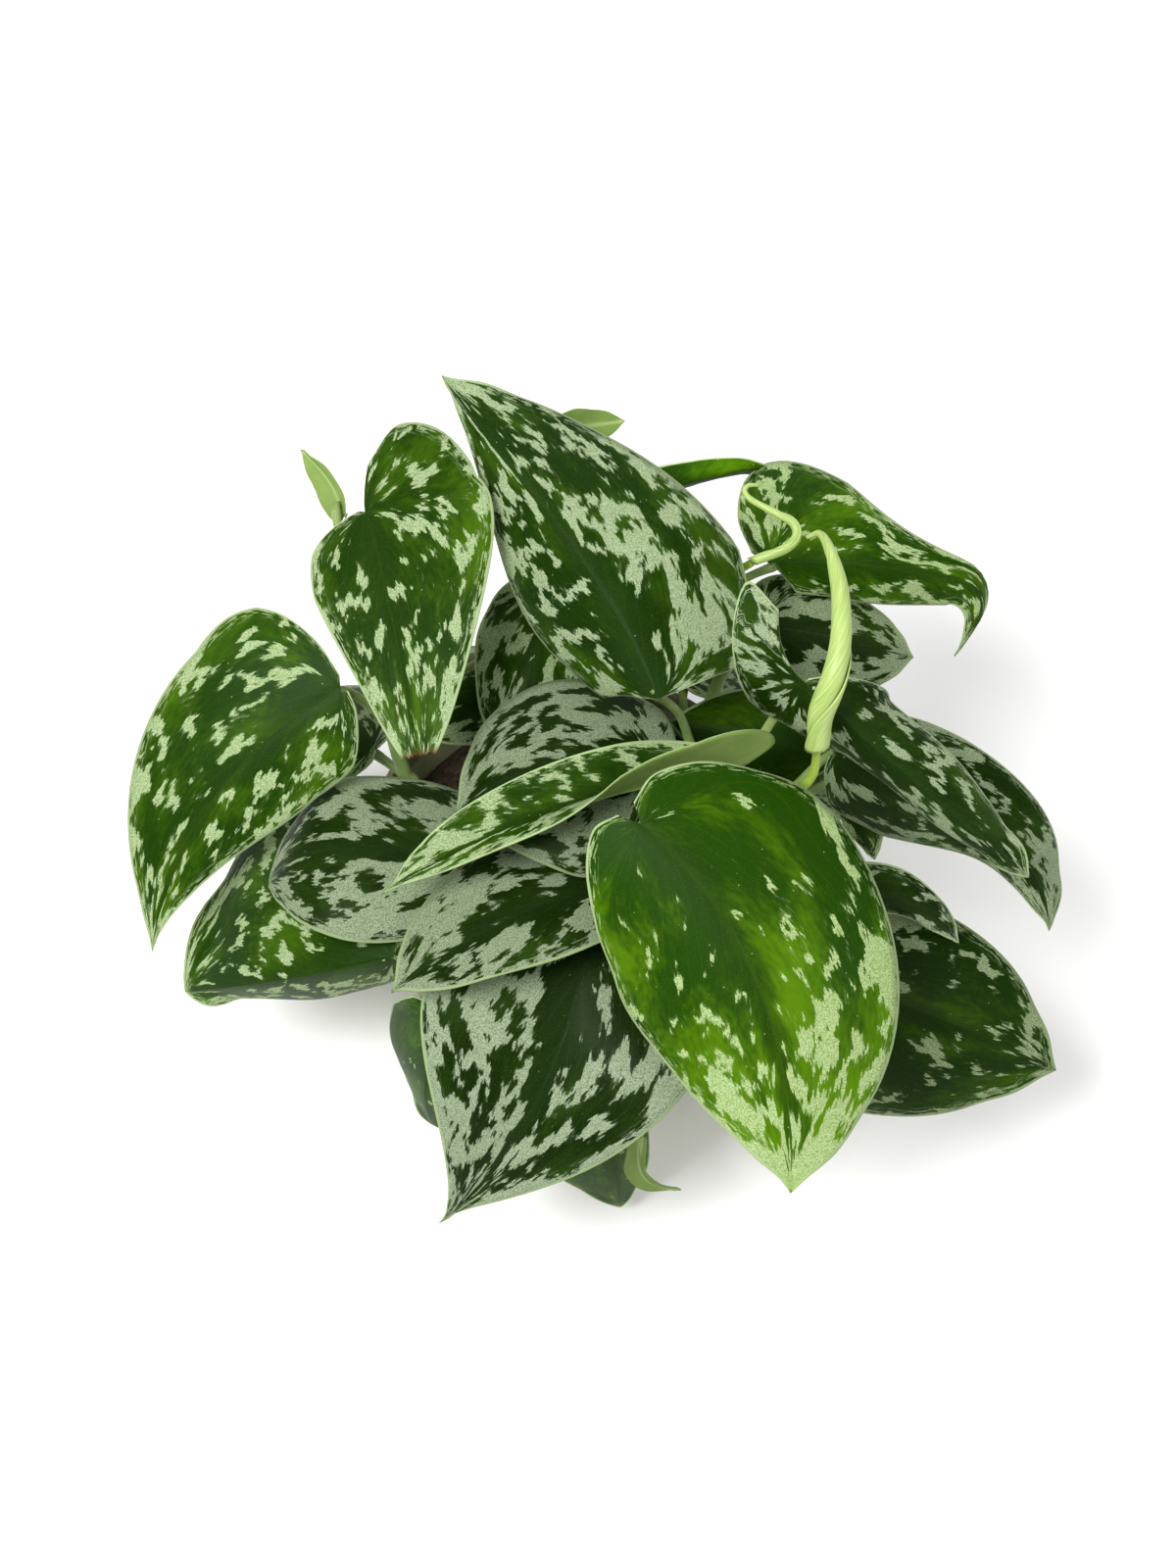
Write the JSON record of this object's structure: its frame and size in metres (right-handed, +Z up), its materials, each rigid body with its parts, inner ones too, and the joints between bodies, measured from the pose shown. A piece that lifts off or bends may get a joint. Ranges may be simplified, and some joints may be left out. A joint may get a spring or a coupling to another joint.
{
  "type": "satin pothos in a grow pot",
  "caption": "Bushy satin pothos with heart-shaped, silver-marked dark green leaves on short vines, rooted in potting mix in a round plastic grow pot.",
  "frame": {"origin": "centre of the pot's flat base, on the surface that the pot stands on", "axes": "+Z up along the pot's axis, -Y towards the side that the picture looks at, +X to its right"},
  "size_m": [0.2638, 0.2255, 0.1925],
  "materials": {
    "leaf": "satin dark green with silver patches above, pale green below",
    "stem": "smooth pale green living stem and leaf stalks",
    "young_leaf": "pale yellow-green, waxy, still rolled",
    "pot_plastic": "khaki moulded plastic, fine matte grain",
    "potting_mix": "dark crumbly peat and bark with pale grains"
  },
  "bodies": {
    "root": {"pot": "pot_plastic", "potting_mix": "potting_mix", "vine_1": "stem", "vine_2": "stem", "vine_3": "stem", "vine_4": "stem", "vine_5": "stem", "vine_6": "stem", "vine_7": "stem", "vine_8": "stem", "leaf_01": "leaf", "leaf_02": "leaf", "leaf_03": "leaf", "leaf_04": "leaf", "leaf_05": "leaf", "leaf_06": "leaf", "leaf_07": "leaf", "leaf_08": "leaf", "leaf_09": "leaf", "leaf_10": "leaf", "leaf_11": "leaf", "leaf_12": "leaf", "leaf_13": "leaf", "leaf_14": "leaf", "leaf_15": "leaf", "leaf_16": "leaf", "leaf_17": "leaf", "leaf_18": "leaf", "leaf_19": "leaf", "leaf_20": "leaf", "leaf_21": "leaf", "leaf_22": "leaf", "leaf_23": "leaf", "leaf_24": "leaf", "leaf_25": "leaf", "leaf_26": "leaf", "leaf_27": "leaf", "leaf_28": "leaf", "leaf_29": "leaf", "leaf_30": "leaf", "leaf_31": "leaf", "new_leaf_1": "young_leaf", "new_leaf_2": "young_leaf"}
  },
  "joints": []
}
